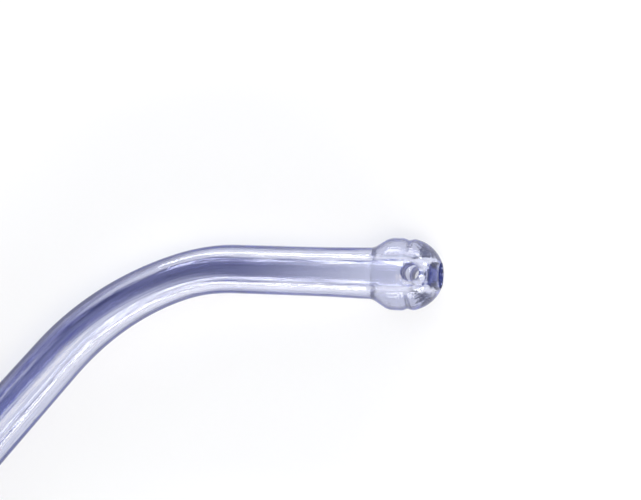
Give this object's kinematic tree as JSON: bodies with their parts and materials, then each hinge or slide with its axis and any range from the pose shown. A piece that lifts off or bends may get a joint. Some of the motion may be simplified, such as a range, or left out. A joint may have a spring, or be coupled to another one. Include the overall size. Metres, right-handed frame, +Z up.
{
  "type": "yankauer suction tip",
  "caption": "Clear one-piece suction tip: stepped tubing connector, ribbed grip, tapered shaft, angled bend and a ball end with side eyes and an end mouth.",
  "frame": {"origin": "on the surface that the part lies on, under the middle of its box", "axes": "+X along the grip from the tubing connector towards the bend, +Z up from the surface it lies on; the tip curves towards -Y"},
  "size_m": [0.2582, 0.0487, 0.014],
  "materials": {
    "clear_plastic": "clear blue-tinted moulded styrene plastic, polished"
  },
  "bodies": {
    "root": {"suction_tip": "clear_plastic"}
  },
  "joints": []
}
